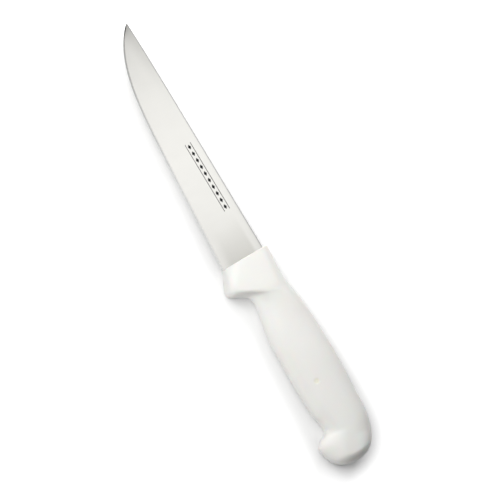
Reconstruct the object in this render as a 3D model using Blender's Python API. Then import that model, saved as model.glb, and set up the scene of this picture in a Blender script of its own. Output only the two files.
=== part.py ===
# Butcher knife with a moulded handle, lying on its side.
#
# Two pieces: a stamped, taper ground stainless steel blade with a hidden tang, and a
# polypropylene handle moulded round that tang, with a collar, a finger guard, a grip and
# a beaked pommel in one body.
#
# The pieces are drawn in the knife's own frame and then laid down by their parent empty.
# In that frame +X runs along the spine from the collar's front face to the tip, +Y runs
# from the spine to the cutting edge, and Z = 0 is the blade's mid-plane. Metres.

import math
from collections import namedtuple

import bmesh
import bpy
from mathutils import Matrix, Vector

# Blade, as it shows in front of the collar
BLADE_LENGTH = 0.1524           # collar face to tip, along the spine
HEEL_HEIGHT = 0.0278            # spine to cutting edge at the collar
EDGE_RISE = 0.0041              # how much the edge climbs before its sweep starts
SWEEP_LENGTH = 0.0924           # part of the edge that curves up to the tip
SWEEP_POWER = 4.5               # how late the sweep turns up
SWEEP_FULLNESS = 0.8            # how round it is near the tip
SPINE_FALL = 0.0006             # the spine's gentle drop to the tip
SPINE_THICKNESS = 0.0019        # at the heel, after grinding
TIP_THICKNESS = 0.0011          # spine thickness where the tip starts to run out
SHOULDER_THICKNESS = 0.0005     # where the ground face meets the edge bevel
BEVEL_HEIGHT = 0.0010
SPINE_EASE = 0.00025            # broken corners along the spine

# Root and tang, hidden in the handle
ROOT_DEPTH = 0.0060             # how far the ground blade runs on behind the collar face
HEEL_STEP = 0.0024              # the root is this much lower than the exposed heel
TANG_LENGTH = 0.0920            # collar face to the tang's end
TANG_LAP = 0.0045               # length over which tang and root are one
TANG_THICKNESS = 0.0020         # the sheet that the blade is stamped from
TANG_CENTRE = 0.0112            # tang's centre line below the spine
TANG_FRONT_HEIGHT = 0.0160
TANG_END_HEIGHT = 0.0120
TANG_CORNER = 0.0030
LOCK_HOLE_DIAMETER = 0.0070
LOCK_HOLE_COUNT = 3
FIRST_LOCK_HOLE = 0.0220        # collar face to the first hole's centre
LOCK_HOLE_PITCH = 0.0280

# Handle
HANDLE_LENGTH = 0.1320
CHEEK_WIDTH = 0.0220            # across the flats that collar and pommel rest on
CHEEK_CROWN = 0.0006            # thickness that the flats take off their crowns
COLLAR_SPINE_LENGTH = 0.0250    # collar along the spine side
COLLAR_BELLY_LENGTH = 0.0154    # collar along the belly side, to the guard's tip
COLLAR_RISE = 0.0018            # plastic above the spine at the collar face
HEEL_OVERHANG = 0.0003          # how far the heel stands below the plastic there
COLLAR_EDGE = 0.0007            # rounding of the collar's front edge
GUARD_DROP = 0.0026             # guard's tip below the heel
GUARD_HOLLOW = 0.0100           # length of the guard's hollow rear face
GUARD_THINNING = 0.12           # share of thickness lost at the guard's tip
WAIST_STEP = 0.0100             # length of the step from collar to waist
WAIST_HEIGHT = 0.0248           # just behind the guard
GRIP_ARCH = 0.0048              # highest point of the grip above the spine
GRIP_HEIGHT = 0.0309            # at the palm swell
GRIP_THICKNESS = 0.0188
GRIP_FULLNESS = 2.5             # power of the grip's rounding
THROAT_LENGTH = 0.0260          # butt to the hollow in front of the beak
THROAT_RISE = 0.0018            # that hollow's depth above the palm swell
BEAK_LENGTH = 0.0178            # butt to the beak's tip
BEAK_DROP = 0.0082              # beak's tip below the throat
BEAK_THINNING = 0.28            # share of thickness lost at the beak's tip
POMMEL_LENGTH = 0.0340          # butt to where the spine side starts to round over
POMMEL_RISE = 0.0034            # spine side above the blade's spine there
BUTT_CENTRE = 0.0164            # butt's furthest point below the spine
BUTT_EDGE = 0.0090              # how far the butt's rounding reaches in
POMMEL_FULLNESS = 2.3           # power of the pommel's outline, where 2 is an ellipse
BUTT_FULLNESS = 2.1             # power of the butt's rounding across its thickness
BUTT_FAN = 0.3                  # how far the pommel's sections lean, against the beak's length

# Fit and fineness
FIT_GAP = 0.0003                # clearance between steel and plastic
RING_POINTS = 40
RING_STEP = 0.0022
ARC_STEPS = 6
ROD_SIDES = 24
STRAIGHT_STEPS = 8              # sections along the blade's straight part
SWEEP_STEPS = 34                # and along its sweep
SMOOTH_ANGLE = 35               # degrees; sharper edges are shaded as creases
WELD_DISTANCE = 0.00001
CUT_MARGIN = 0.0020             # how far cutters stand out of what they cut

# A section of the handle runs across it from a point on its spine side to one on its
# belly side. Each side's fullness is the power of its rounding, where 2 is an ellipse and
# more is squarer. Pinch is the share of its thickness that is lost at the belly side.
Section = namedtuple(
    "Section", "spine belly thickness belly_fullness spine_fullness pinch")


def clear_scene():
    for old in list(bpy.data.objects):
        bpy.data.objects.remove(old, do_unlink=True)


def new_collection(name):
    collection = bpy.data.collections.new(name)
    bpy.context.scene.collection.children.link(collection)
    return collection


def plain_material(name, colour, roughness, metallic):
    material = bpy.data.materials.new(name)
    material.use_nodes = True
    shader = material.node_tree.nodes["Principled BSDF"]
    shader.inputs["Base Color"].default_value = (*colour, 1.0)
    shader.inputs["Roughness"].default_value = roughness
    shader.inputs["Metallic"].default_value = metallic
    return material


def stainless_steel():
    return plain_material("stainless_steel", (0.62, 0.62, 0.63), 0.28, 1.0)


def moulded_polypropylene():
    return plain_material("moulded_polypropylene", (0.84, 0.83, 0.80), 0.42, 0.0)


def mesh_object(name, mesh, collection, parent):
    piece = bpy.data.objects.new(name, mesh)
    piece.parent = parent
    collection.objects.link(piece)
    return piece


def finish_mesh(shape, name):
    """Point all faces outwards and turn a bmesh into a mesh of triangles."""
    bmesh.ops.recalc_face_normals(shape, faces=shape.faces)
    bmesh.ops.triangulate(shape, faces=shape.faces)
    mesh = bpy.data.meshes.new(name)
    shape.to_mesh(mesh)
    shape.free()
    return mesh


def loft(name, rings):
    """Skin a row of rings with equal point counts; a ring of one point is a pole."""
    shape = bmesh.new()
    rows = [[shape.verts.new(point) for point in ring] for ring in rings]
    for first, second in zip(rows, rows[1:]):
        count = max(len(first), len(second))
        for i in range(count):
            j = (i + 1) % count
            corners = [first[i % len(first)], first[j % len(first)],
                       second[j % len(second)], second[i % len(second)]]
            shape.faces.new(list(dict.fromkeys(corners)))
    for end in (rows[0], rows[-1]):
        if len(end) > 1:
            shape.faces.new(end)
    return finish_mesh(shape, name)


def flat_plate(name, outline, thickness):
    """Fill a closed outline and give it a thickness, as a mesh."""
    curve = bpy.data.curves.new(name, "CURVE")
    curve.dimensions = "2D"
    curve.fill_mode = "BOTH"
    curve.extrude = thickness / 2
    spline = curve.splines.new("POLY")
    spline.points.add(len(outline) - 1)
    for point, (x, y) in zip(spline.points, outline):
        point.co = (x, y, 0.0, 1.0)
    spline.use_cyclic_u = True
    holder = bpy.data.objects.new(name, curve)
    bpy.context.scene.collection.objects.link(holder)
    bpy.context.view_layer.update()
    graph = bpy.context.evaluated_depsgraph_get()
    filled = bpy.data.meshes.new_from_object(holder.evaluated_get(graph))
    bpy.data.objects.remove(holder, do_unlink=True)
    bpy.data.curves.remove(curve)
    shape = bmesh.new()
    shape.from_mesh(filled)
    bpy.data.meshes.remove(filled)
    bmesh.ops.remove_doubles(shape, verts=shape.verts, dist=WELD_DISTANCE)
    return finish_mesh(shape, name)


def arc(centre, radius, start, end, steps=ARC_STEPS):
    """Points along an arc, angles in degrees, both ends included."""
    points = []
    for i in range(steps + 1):
        angle = math.radians(start + (end - start) * i / steps)
        points.append((centre[0] + radius * math.cos(angle),
                       centre[1] + radius * math.sin(angle)))
    return points


def cut(piece, cutter, operation="DIFFERENCE"):
    cutter.hide_render = True
    cutter.display_type = "WIRE"
    boolean = piece.modifiers.new(cutter.name, "BOOLEAN")
    boolean.operation = operation
    boolean.solver = "EXACT"
    boolean.object = cutter


def smooth_by_angle(mesh, degrees):
    mesh.shade_smooth()
    mesh.set_sharp_from_angle(angle=math.radians(degrees))


# Blade


def sweep_share(x):
    """Where x lies in the sweep: 0 at its start and before, 1 at the tip."""
    return max(0.0, (x - (BLADE_LENGTH - SWEEP_LENGTH)) / SWEEP_LENGTH)


def spine_line(x):
    return SPINE_FALL * sweep_share(x) ** SWEEP_POWER


def edge_line(x):
    """The edge climbs straight from the heel and then sweeps up to the tip."""
    straight = HEEL_HEIGHT - EDGE_RISE * x / (BLADE_LENGTH - SWEEP_LENGTH)
    return straight * (1 - min(1.0, sweep_share(x)) ** SWEEP_POWER) ** SWEEP_FULLNESS


def blade_ring(x):
    """The ground section at x: spine, two tapering faces and the edge bevel."""
    top = spine_line(x)
    edge = edge_line(x)
    height = edge - top
    share = max(0.0, x / BLADE_LENGTH)
    spine = SPINE_THICKNESS + (TIP_THICKNESS - SPINE_THICKNESS) * share
    spine_half = min(spine, height) / 2
    ease = min(SPINE_EASE, spine_half / 3)
    bevel = min(BEVEL_HEIGHT, height / 3)
    shoulder_half = min(SHOULDER_THICKNESS / 2, spine_half / 2)
    half_outline = [(top, spine_half - ease), (top + ease, spine_half),
                    (edge - bevel, shoulder_half)]
    ring = [(x, y, z) for y, z in half_outline]
    ring.append((x, edge, 0.0))
    ring.extend((x, y, -z) for y, z in reversed(half_outline))
    return ring


def blade_rings():
    """Even steps along the straight part, closer ones where the sweep bends most."""
    sweep_start = BLADE_LENGTH - SWEEP_LENGTH
    stations = [-ROOT_DEPTH + (sweep_start + ROOT_DEPTH) * i / STRAIGHT_STEPS
                for i in range(STRAIGHT_STEPS)]
    stations += [sweep_start + SWEEP_LENGTH * math.sin(math.pi / 2 * i / SWEEP_STEPS)
                 for i in range(SWEEP_STEPS)]
    tip = [(BLADE_LENGTH, spine_line(BLADE_LENGTH), 0.0)]
    return [blade_ring(x) for x in stations] + [tip]


def tang_outline(allowance):
    """The tang seen from the side, grown by the allowance all round."""
    front = -(ROOT_DEPTH - TANG_LAP) + allowance
    centre_x = -TANG_LENGTH + TANG_CORNER
    front_half = TANG_FRONT_HEIGHT / 2 + allowance
    corner_half = TANG_END_HEIGHT / 2 - TANG_CORNER
    radius = TANG_CORNER + allowance
    outline = [(front, TANG_CENTRE - front_half), (front, TANG_CENTRE + front_half)]
    outline += arc((centre_x, TANG_CENTRE + corner_half), radius, 90, 180)
    outline += arc((centre_x, TANG_CENTRE - corner_half), radius, 180, 270)
    return outline


def tang_plate(name, allowance):
    return flat_plate(name, tang_outline(allowance), TANG_THICKNESS + 2 * allowance)


def lock_rods(name, allowance):
    """Rods across the tang at its lock holes, slimmer than them by the allowance."""
    radius = LOCK_HOLE_DIAMETER / 2 - allowance
    shape = bmesh.new()
    for i in range(LOCK_HOLE_COUNT):
        place = (-FIRST_LOCK_HOLE - LOCK_HOLE_PITCH * i, TANG_CENTRE, 0.0)
        bmesh.ops.create_cone(shape, cap_ends=True, segments=ROD_SIDES, radius1=radius,
                              radius2=radius, depth=TANG_THICKNESS + 2 * CUT_MARGIN,
                              matrix=Matrix.Translation(place))
    return finish_mesh(shape, name)


def heel_step_cutter(cutters, frame):
    """Takes the root's lower strip away, up to the collar face."""
    back = -ROOT_DEPTH - CUT_MARGIN
    length = FIT_GAP - back
    height = HEEL_STEP + CUT_MARGIN
    root_height = HEEL_HEIGHT - HEEL_STEP
    shape = bmesh.new()
    bmesh.ops.create_cube(shape, size=1.0)
    bmesh.ops.scale(shape, verts=shape.verts, vec=(length, height, CHEEK_WIDTH / 2))
    bmesh.ops.translate(shape, verts=shape.verts,
                        vec=(back + length / 2, root_height + height / 2, 0.0))
    return mesh_object("heel_step", finish_mesh(shape, "heel_step"), cutters, frame)


def make_blade(parts, cutters, frame):
    blade = mesh_object("blade", loft("blade", blade_rings()), parts, frame)
    blade.data.materials.append(stainless_steel())
    cut(blade, heel_step_cutter(cutters, frame))
    cut(blade, mesh_object("tang", tang_plate("tang", 0.0), cutters, frame), "UNION")
    cut(blade, mesh_object("lock_holes", lock_rods("lock_holes", 0.0), cutters, frame))
    return blade


# Handle


def collar_sections():
    """Collar face to guard tip. The rear section leans with the guard's underside."""
    crown = CHEEK_WIDTH + CHEEK_CROWN
    face = -COLLAR_EDGE
    front = Section((face, -COLLAR_RISE), (face, HEEL_HEIGHT - HEEL_OVERHANG), crown, 4.0, 3.4,
                    0.7 * GUARD_THINNING)
    rear = Section((-COLLAR_SPINE_LENGTH, -0.8 * COLLAR_RISE),
                   (-COLLAR_BELLY_LENGTH, HEEL_HEIGHT + GUARD_DROP), crown, 6.0, 3.0,
                   GUARD_THINNING)
    return [front, rear]


def waist_sections():
    """The guard's hollow rear face and the step down from the collar to the waist."""
    step = CHEEK_WIDTH - GRIP_THICKNESS
    tip = HEEL_HEIGHT + GUARD_DROP
    bottom = WAIST_HEIGHT - 0.65 * GRIP_ARCH
    # Shares of the step's length, the arch's height, the hollow's length, the guard's
    # drop, the step's height and the thinning; then the belly's and spine's fullness.
    rows = [
        (0.15, 0.36, 0.06, 0.09, 1.15, 1.0, 4.8, 2.95),
        (0.38, 0.42, 0.24, 0.47, 0.98, 0.6, 3.2, 2.85),
        (0.66, 0.50, 0.48, 0.90, 0.74, 0.0, 2.6, 2.7),
        (1.05, 0.61, 0.84, 1.05, 0.50, 0.0, 2.4, 2.55),
        (1.60, 0.74, 1.42, 1.00, 0.26, 0.0, 2.4, 2.5),
    ]
    sections = []
    for back, arch, hollow, drop, swell, thinning, belly_fullness, spine_fullness in rows:
        spine = (-COLLAR_SPINE_LENGTH - back * WAIST_STEP, -arch * GRIP_ARCH)
        belly = (-COLLAR_BELLY_LENGTH - hollow * GUARD_HOLLOW, tip - drop * (tip - bottom))
        sections.append(Section(spine, belly, GRIP_THICKNESS + swell * step, belly_fullness,
                                spine_fullness, thinning * GUARD_THINNING))
    return sections


def grip_sections():
    """The palm swell: an arched spine side over a belly that fills towards the pommel."""
    run = HANDLE_LENGTH - THROAT_LENGTH - COLLAR_SPINE_LENGTH
    flare = CHEEK_WIDTH - GRIP_THICKNESS
    # Share of the run, share of the arch's height, height of the belly side against the
    # handle's height at the palm swell, share of the pommel's flare and the belly's
    # fullness.
    rows = [
        (0.24, 0.90, 0.952, 0.04, GRIP_FULLNESS),
        (0.48, 1.00, 0.990, 0.06, GRIP_FULLNESS),
        (0.72, 0.95, 1.006, 0.20, GRIP_FULLNESS),
        (0.89, POMMEL_RISE / GRIP_ARCH, 0.985, 0.40, 2.7),
    ]
    sections = []
    for share, arch, height, widening, belly_fullness in rows:
        x = -COLLAR_SPINE_LENGTH - share * run
        sections.append(Section((x, -arch * GRIP_ARCH), (x, height * GRIP_HEIGHT - GRIP_ARCH),
                                GRIP_THICKNESS + widening * flare, belly_fullness,
                                GRIP_FULLNESS, 0.0))
    return sections


def quarter_round(share, power):
    """Height of a rounded corner's outline at a share of its run: 1 down to 0."""
    return (1 - min(1.0, share) ** power) ** (1 / power)


def pommel_top(x):
    """Spine side of the pommel, rounding over from the grip to the butt."""
    share = max(0.0, (POMMEL_LENGTH - HANDLE_LENGTH - x) / POMMEL_LENGTH)
    return BUTT_CENTRE - (BUTT_CENTRE + POMMEL_RISE) * quarter_round(share, POMMEL_FULLNESS)


def pommel_bottom(x):
    """Belly side of the pommel, rounding from the beak's tip to the butt."""
    tip = GRIP_HEIGHT - GRIP_ARCH - THROAT_RISE + BEAK_DROP
    share = (BEAK_LENGTH - HANDLE_LENGTH - x) / BEAK_LENGTH
    return BUTT_CENTRE + (tip - BUTT_CENTRE) * quarter_round(share, POMMEL_FULLNESS)


def beak_sections():
    """From the throat round the front of the beak, which is thin at its tip."""
    throat = THROAT_LENGTH - HANDLE_LENGTH
    throat_bottom = GRIP_HEIGHT - GRIP_ARCH - THROAT_RISE
    reach = THROAT_LENGTH - BEAK_LENGTH
    flare = CHEEK_WIDTH - GRIP_THICKNESS
    # Shares of the beak's reach on the spine and the belly side, of its drop, the flare
    # and the thinning; then the belly's fullness.
    rows = [
        (0.50, 0.12, 0.00, 0.52, 0.00, 2.9),
        (0.85, -0.28, 0.02, 0.58, 0.15, 2.9),
        (1.13, -0.50, 0.26, 0.64, 0.60, 2.7),
        (1.40, -0.70, 0.70, 0.72, 1.00, 2.6),
    ]
    sections = []
    for back, lead, drop, widening, thinning, belly_fullness in rows:
        spine_x = throat - back * reach
        belly = (throat + lead * reach, throat_bottom + drop * BEAK_DROP)
        sections.append(Section((spine_x, pommel_top(spine_x)), belly,
                                GRIP_THICKNESS + widening * flare, belly_fullness,
                                GRIP_FULLNESS, thinning * BEAK_THINNING))
    return sections


def butt_sections():
    """Sections that fan round the butt and close it, softer towards its end."""
    crown = CHEEK_WIDTH + CHEEK_CROWN
    flare = CHEEK_WIDTH - GRIP_THICKNESS
    # Share of the turn, what the flare still lacks, the thinning and the belly's fullness.
    rows = [
        (0.00, 0.24, 1.1, 2.6),
        (0.22, 0.00, 0.8, 2.9),
        (0.44, 0.00, 0.3, 3.2),
        (0.64, 0.00, 0.0, 2.8),
        (0.80, 0.00, 0.0, 2.5),
        (0.91, 0.00, 0.0, 2.3),
        (0.97, 0.00, 0.0, 2.2),
    ]
    sections = []
    for share, lack, thinning, belly_fullness in rows:
        left = 1 - math.sin(math.pi / 2 * share)
        x = BEAK_LENGTH * left - HANDLE_LENGTH
        spine_x = x - BUTT_FAN * BEAK_LENGTH * left
        edge_share = max(0.0, 1 - (HANDLE_LENGTH + x) / BUTT_EDGE)
        thickness = (crown - lack * flare) * quarter_round(edge_share, BUTT_FULLNESS)
        sections.append(Section((spine_x, pommel_top(spine_x)), (x, pommel_bottom(x)),
                                thickness, belly_fullness, GRIP_FULLNESS - 0.3 * share,
                                thinning * BEAK_THINNING))
    return sections


def as_row(section):
    return Vector((*section.spine, *section.belly, section.thickness,
                   section.belly_fullness, section.spine_fullness, section.pinch))


def section_spacing(first, second):
    """Mean distance between two sections, taken along both sides of the handle."""
    spine = math.dist(first[0:2], second[0:2])
    belly = math.dist(first[2:4], second[2:4])
    return (spine + belly) / 2


def smooth_rows(rows):
    """Cubic blend through all rows, with slopes weighted by their spacing."""
    gaps = [section_spacing(a, b) for a, b in zip(rows, rows[1:])]
    slopes = [(rows[1] - rows[0]) / gaps[0]]
    for i in range(1, len(rows) - 1):
        before = (rows[i] - rows[i - 1]) / gaps[i - 1]
        after = (rows[i + 1] - rows[i]) / gaps[i]
        slopes.append((before * gaps[i] + after * gaps[i - 1]) / (gaps[i - 1] + gaps[i]))
    slopes.append((rows[-1] - rows[-2]) / gaps[-1])
    blended = []
    for i, gap in enumerate(gaps):
        steps = max(2, round(gap / RING_STEP))
        for k in range(steps):
            s = k / steps
            blended.append(rows[i] * (2 * s ** 3 - 3 * s ** 2 + 1)
                           + slopes[i] * gap * (s ** 3 - 2 * s ** 2 + s)
                           + rows[i + 1] * (3 * s ** 2 - 2 * s ** 3)
                           + slopes[i + 1] * gap * (s ** 3 - s ** 2))
    blended.append(rows[-1])
    return blended


def handle_ring(row, inset=0.0, forward=0.0):
    """Superellipse between the row's two side points, with its cheeks cut flat."""
    spine = Vector(row[0:2])
    belly = Vector(row[2:4])
    thickness, belly_fullness, spine_fullness, pinch = row[4:8]
    centre = (spine + belly) / 2 + Vector((forward, 0.0))
    reach = belly - spine
    half_height = reach.length / 2 - inset
    across = reach.normalized()
    ring = []
    for i in range(RING_POINTS):
        angle = 2 * math.pi * i / RING_POINTS
        fullness = belly_fullness if math.cos(angle) > 0 else spine_fullness
        along = math.copysign(abs(math.cos(angle)) ** (2 / fullness), math.cos(angle))
        out = math.copysign(abs(math.sin(angle)) ** (2 / fullness), math.sin(angle))
        thinned = 1 - pinch * max(0.0, along) ** 2
        z = out * (thickness / 2 - inset) * thinned
        z = max(-CHEEK_WIDTH / 2, min(CHEEK_WIDTH / 2, z))
        x, y = centre + across * (along * half_height)
        ring.append((x, y, z))
    return ring


def handle_rings():
    sections = (collar_sections() + waist_sections() + grip_sections() + beak_sections()
                + butt_sections())
    rows = smooth_rows([as_row(section) for section in sections])
    rings = []
    for i in range(ARC_STEPS):
        angle = math.pi / 2 * (1 - i / ARC_STEPS)
        rings.append(handle_ring(rows[0], COLLAR_EDGE * (1 - math.cos(angle)),
                                 COLLAR_EDGE * math.sin(angle)))
    return rings + [handle_ring(row) for row in rows]


def root_slot_cutter(cutters, frame):
    """Slot for the blade's root, open at the collar face."""
    root_height = HEEL_HEIGHT - HEEL_STEP
    fall = (SPINE_THICKNESS - SHOULDER_THICKNESS) / (HEEL_HEIGHT - BEVEL_HEIGHT)
    top_half = SPINE_THICKNESS / 2 + FIT_GAP
    bottom_half = (SPINE_THICKNESS - fall * root_height) / 2 + FIT_GAP
    top = -FIT_GAP
    bottom = root_height + FIT_GAP
    rings = []
    for x in (-ROOT_DEPTH - FIT_GAP, CUT_MARGIN):
        rings.append([(x, top, -top_half), (x, top, top_half),
                      (x, bottom, bottom_half), (x, bottom, -bottom_half)])
    return mesh_object("root_slot", loft("root_slot", rings), cutters, frame)


def make_handle(parts, cutters, frame):
    handle = mesh_object("handle", loft("handle", handle_rings()), parts, frame)
    handle.data.materials.append(moulded_polypropylene())
    smooth_by_angle(handle.data, SMOOTH_ANGLE)
    cut(handle, root_slot_cutter(cutters, frame))
    cut(handle, mesh_object("tang_slot", tang_plate("tang_slot", FIT_GAP), cutters, frame))
    cut(handle, mesh_object("plugs", lock_rods("plugs", FIT_GAP), cutters, frame), "UNION")
    return handle


def lay_down(frame, pieces):
    """Put the middle of the knife's box at the origin, with its lower cheeks on Z = 0."""
    corners = [vertex.co for piece in pieces for vertex in piece.data.vertices]
    lowest = [min(corner[axis] for corner in corners) for axis in range(3)]
    highest = [max(corner[axis] for corner in corners) for axis in range(3)]
    frame.location = (-(lowest[0] + highest[0]) / 2, -(lowest[1] + highest[1]) / 2, -lowest[2])


def build():
    clear_scene()
    parts = new_collection("butcher_knife")
    cutters = new_collection("cutters")
    frame = bpy.data.objects.new("knife_frame", None)
    parts.objects.link(frame)
    blade = make_blade(parts, cutters, frame)
    handle = make_handle(parts, cutters, frame)
    lay_down(frame, [blade, handle])


build()
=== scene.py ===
import math

import bmesh
import bpy
import numpy as np
from mathutils import Matrix, Vector


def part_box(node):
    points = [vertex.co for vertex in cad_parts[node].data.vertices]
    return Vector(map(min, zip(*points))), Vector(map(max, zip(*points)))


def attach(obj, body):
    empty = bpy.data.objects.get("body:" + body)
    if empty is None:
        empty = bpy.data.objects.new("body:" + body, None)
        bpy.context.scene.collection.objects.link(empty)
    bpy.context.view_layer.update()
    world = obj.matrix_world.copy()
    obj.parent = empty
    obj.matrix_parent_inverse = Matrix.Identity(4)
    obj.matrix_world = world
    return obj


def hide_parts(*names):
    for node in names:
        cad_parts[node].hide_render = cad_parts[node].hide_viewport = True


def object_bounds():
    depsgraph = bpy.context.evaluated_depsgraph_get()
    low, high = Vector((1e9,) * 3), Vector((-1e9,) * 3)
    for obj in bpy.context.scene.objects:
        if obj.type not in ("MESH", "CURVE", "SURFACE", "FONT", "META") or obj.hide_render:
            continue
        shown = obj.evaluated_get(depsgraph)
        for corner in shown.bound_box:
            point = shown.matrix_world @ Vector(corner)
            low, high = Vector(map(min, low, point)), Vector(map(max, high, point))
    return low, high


# A butcher knife: ground stainless steel moulded into a white polypropylene handle.
# Shapes are worked out in millimetres in the knife's own axes, which run from the
# collar's front face to the tip (x), from the spine to the cutting edge (y) and up from
# the blade's middle plane (z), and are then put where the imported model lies.

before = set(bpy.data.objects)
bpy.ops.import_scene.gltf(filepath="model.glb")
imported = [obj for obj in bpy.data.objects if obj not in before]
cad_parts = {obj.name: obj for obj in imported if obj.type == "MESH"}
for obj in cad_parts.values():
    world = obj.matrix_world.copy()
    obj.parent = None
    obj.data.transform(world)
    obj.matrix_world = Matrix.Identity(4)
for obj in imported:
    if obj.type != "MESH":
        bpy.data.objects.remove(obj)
cadLow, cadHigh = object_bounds()
millimetre = 0.001

blade = {
    "length": 152.4,          # collar to tip
    "heelHeight": 27.8,
    "edgeRise": 4.1,          # climb of the straight part of the edge
    "sweepLength": 92.4,
    "sweepPower": 4.5,
    "sweepFullness": 0.8,
    "spineFall": 0.6,
    "spineThickness": 1.9,
    "tipThickness": 1.1,
    "shoulderThickness": 0.5,
    "bevelHeight": 1.0,
    "spineRound": 0.3,        # radius of the polished spine corners
    "stripHeight": 2.8,       # unground strip under the spine at the heel
    "stripLength": 118.0,     # where that strip has run out
    "stripFade": 0.7,         # power of its fading from the heel to there
    "rootDepth": 6.0,         # how far the full section goes into the handle
    "heelStep": 2.4,          # the root is this much lower than the heel
    "stepBlock": (2.0, 6.0, 5.0),  # what cuts that step off: past the root, down and aside
    "straightSteps": 70,      # rings along the straight part and along the sweep
    "sweepSteps": 230,
    "cornerSteps": 7,         # points round a spine corner
    "faceSteps": 14,          # points down a ground face
    "bevelSteps": (0.33, 0.66),  # shares of the bevel that have points too
}

tang = {
    "length": 92.0,           # behind the collar's face
    "lap": 4.5,               # how far it runs forward into the root
    "thickness": 2.0,
    "centre": 11.2,           # middle of its height, below the spine
    "frontHeight": 16.0,
    "endHeight": 12.0,
    "corner": 3.0,
    "holeDiameter": 7.0,
    "holes": (22.0, 50.0, 78.0),   # distance of each lock hole behind the collar's face
    "plugReach": 2.0,         # a hole's cutter or plug goes this far past each side
    "holeSteps": 48,          # points round a hole
}

handle = {
    "length": 132.0,
    "cheekWidth": 22.0,       # across the flats of the collar and the pommel
    "cheekCrown": 0.6,        # taken off again by those flats
    "collarTop": 25.0,        # collar along the spine side
    "collarBottom": 15.4,     # and along the belly side
    "collarRise": 1.8,        # how far its front stands above the spine
    "collarRearRise": 0.8,    # share of that left at its rear
    "heelOverhang": 0.3,
    "frontRound": 0.7,        # rounding of the collar's front edge
    "frontSteps": 8,          # rings on that rounding
    "frontThinning": 0.7,     # share of the guard's thinning at the front
    "guardDrop": 2.6,         # guard's tip below the heel
    "guardHollow": 10.0,
    "guardThinning": 0.12,    # share of the thickness that is gone at the guard's tip
    "waistStep": 10.0,        # length of the step down behind the collar
    "waistHeight": 24.8,
    "waistArch": 0.65,        # share of the arch that the waist's underside has
    "gripArch": 4.8,
    "gripHeight": 30.9,
    "gripThickness": 18.8,
    "gripFullness": 2.5,
    "throatLength": 26.0,     # throat's distance from the butt
    "throatRise": 1.8,
    "beakThinning": 0.28,
    "beakLength": 17.8,       # distance of the beak's point from the butt
    "beakDrop": 8.2,
    "pommelLength": 34.0,
    "pommelRise": 3.4,
    "pommelFullness": 2.3,
    "buttCentre": 16.4,       # below the blade's spine
    "buttEdge": 9.0,
    "buttFullness": 2.1,
    "buttFan": 0.3,           # how much farther back a section's spine side is
    "buttSoftness": 0.3,      # fall in the power of that side over the fan
    "cheekSoftness": 0.12,    # how softly the flats of the cheeks run out
    "cheekStart": 0.5,        # share of the half width below which nothing is flattened
    "extraSpan": (1.0, 0.5),  # where the spine half's extra thickness starts and is full,
                              # from 1 at the belly side to -1 at the spine side
    "partingRidge": 0.08,     # proud line left where the mould halves met
    "partingWidth": 0.14,
    "partingSteps": (0.5, 1.0, 1.6),  # in its widths, where it gets more points
    "gate": (-81.0, 15.8),    # where the plastic went in, on the upper cheek
    "gateRadius": 1.6,
    "gateRim": 1.35,          # in radii, where its dimple starts
    "gateDepth": 0.28,
    "gateNub": 0.2,           # torn stub in the middle of the gate's dimple
    "gateNubRadius": 0.4,
    "lengthSteps": 370,
    "roundSteps": 200,
    "steelGap": 0.05,         # moulded tight round the steel
    "slotStart": 3.0,         # the slot's cutter starts this far before the collar
}

bladeLow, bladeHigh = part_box("blade")
knifeOrigin = np.array([bladeHigh.x - blade["length"] * millimetre, bladeLow.y,
                        (cadLow.z + cadHigh.z) / 2])


# Mesh helpers

def toWorld(points):
    # From the knife's own millimetres to the scene's metres.
    return points * millimetre + knifeOrigin


def makePiece(name, points, faces):
    mesh = bpy.data.meshes.new(name)
    mesh.from_pydata(toWorld(points).tolist(), [], faces)
    mesh.update()
    piece = bpy.data.objects.new(name, mesh)
    bpy.context.scene.collection.objects.link(piece)
    return piece


def ringSurface(name, rings):
    # Closed skin over a grid of rings (length steps x round steps x 3): quads join each
    # ring to the next and the last column to the first, and a fan closes each end.
    rows, columns = rings.shape[:2]
    i = np.arange(rows - 1)[:, None] * columns
    j = np.arange(columns)[None, :]
    k = (j + 1) % columns
    quads = np.stack([i + j, i + k, i + columns + k, i + columns + j], -1).reshape(-1, 4)
    firstPole, lastPole = rows * columns, rows * columns + 1
    ring, after = j[0], k[0]
    last = (rows - 1) * columns
    startFan = np.stack([after, ring, np.full(columns, firstPole)], -1)
    endFan = np.stack([last + ring, last + after, np.full(columns, lastPole)], -1)
    points = np.vstack([rings.reshape(-1, 3), rings[0].mean(0), rings[-1].mean(0)])
    return makePiece(name, points, quads.tolist() + startFan.tolist() + endFan.tolist())


def slabSurface(name, outline, low, high):
    # Straight-walled solid over a flat outline: the same outline at two heights.
    count = len(outline)
    base = np.column_stack([outline, np.full(count, low)])
    top = np.column_stack([outline, np.full(count, high)])
    walls = [[i, (i + 1) % count, count + (i + 1) % count, count + i] for i in range(count)]
    faces = walls + [list(range(count))[::-1], list(range(count, 2 * count))]
    return makePiece(name, np.vstack([base, top]), faces)


def outwardNormals(piece):
    shape = bmesh.new()
    shape.from_mesh(piece.data)
    bmesh.ops.recalc_face_normals(shape, faces=shape.faces)
    shape.to_mesh(piece.data)
    shape.free()


def carve(piece, cutter, operation):
    # Boolean that is applied at once, so that no cutter is left in the scene.
    outwardNormals(cutter)
    step = piece.modifiers.new("carve", "BOOLEAN")
    step.operation = operation
    step.solver = "EXACT"
    step.object = cutter
    graph = bpy.context.evaluated_depsgraph_get()
    carved = bpy.data.meshes.new_from_object(piece.evaluated_get(graph))
    piece.modifiers.remove(step)
    plain = piece.data
    piece.data = carved
    bpy.data.meshes.remove(plain)
    bpy.data.objects.remove(cutter, do_unlink=True)


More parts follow.
